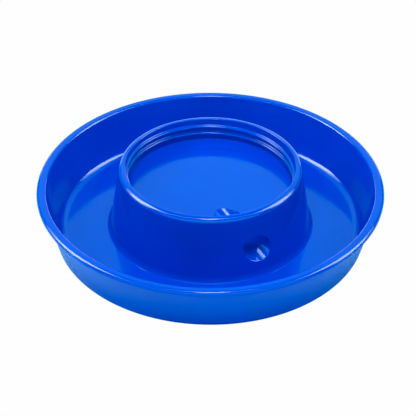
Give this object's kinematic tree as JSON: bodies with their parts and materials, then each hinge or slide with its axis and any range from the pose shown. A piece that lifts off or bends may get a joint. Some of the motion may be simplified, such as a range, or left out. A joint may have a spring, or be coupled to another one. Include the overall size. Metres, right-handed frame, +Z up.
{
  "type": "screw-on poultry waterer base",
  "caption": "Round drinking tray with a flared wall and rounded rim, and a hollow central cone whose threaded collar takes an upturned jar; a side port feeds the trough.",
  "frame": {"origin": "on the tray's axis, at the level of the surface it stands on", "axes": "+Z up along the axis of the tray and collar; -Y is the front; the water port is in the cone's front, to the right, towards +X"},
  "size_m": [0.227, 0.227, 0.0494],
  "materials": {
    "moulding": "smooth glossy blue injection-moulded polypropylene"
  },
  "bodies": {
    "root": {"tray_floor": "moulding", "tray_wall": "moulding", "rim_lip": "moulding", "jar_collar": "moulding", "cup_floor": "moulding", "port_tube": "moulding"}
  },
  "joints": []
}
